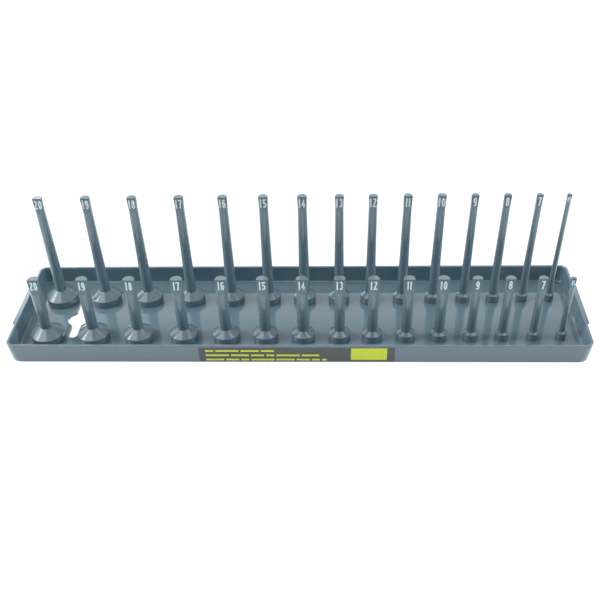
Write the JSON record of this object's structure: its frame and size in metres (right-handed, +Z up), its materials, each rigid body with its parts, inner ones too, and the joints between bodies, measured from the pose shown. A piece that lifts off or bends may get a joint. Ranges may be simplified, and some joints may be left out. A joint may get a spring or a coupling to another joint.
{
  "type": "socket holder",
  "caption": "Long shallow tray with a rear row of tall posts and a front row of short posts that hold wrench sockets by size, each post on a round collar with a slanted face for its size.",
  "frame": {"origin": "middle of the tray's underside, on the surface that it stands on", "axes": "+X along the tray from the largest sockets to the smallest, +Y from the front row of short posts to the rear row of tall posts, +Z up along the posts"},
  "size_m": [0.4038, 0.0971, 0.0886],
  "materials": {
    "tray_plastic": "injection-moulded slate blue-grey plastic with a glossy surface",
    "post_plastic": "the same slate blue-grey plastic, glossy, for the posts",
    "label_film": "printed self-adhesive plastic film, dark grey ground",
    "number_print": "white hot-stamped print of the size numbers on the posts' slanted faces"
  },
  "bodies": {
    "root": {"tray": "tray_plastic", "label": "label_film", "post_deep_20": "post_plastic", "post_short_20": "post_plastic", "post_deep_19": "post_plastic", "post_short_19": "post_plastic", "post_deep_18": "post_plastic", "post_short_18": "post_plastic", "post_deep_17": "post_plastic", "post_short_17": "post_plastic", "post_deep_16": "post_plastic", "post_short_16": "post_plastic", "post_deep_15": "post_plastic", "post_short_15": "post_plastic", "post_deep_14": "post_plastic", "post_short_14": "post_plastic", "post_deep_13": "post_plastic", "post_short_13": "post_plastic", "post_deep_12": "post_plastic", "post_short_12": "post_plastic", "post_deep_11": "post_plastic", "post_short_11": "post_plastic", "post_deep_10": "post_plastic", "post_short_10": "post_plastic", "post_deep_09": "post_plastic", "post_short_09": "post_plastic", "post_deep_08": "post_plastic", "post_short_08": "post_plastic", "post_deep_07": "post_plastic", "post_short_07": "post_plastic", "post_deep_06": "post_plastic", "post_short_06": "post_plastic"}
  },
  "joints": []
}
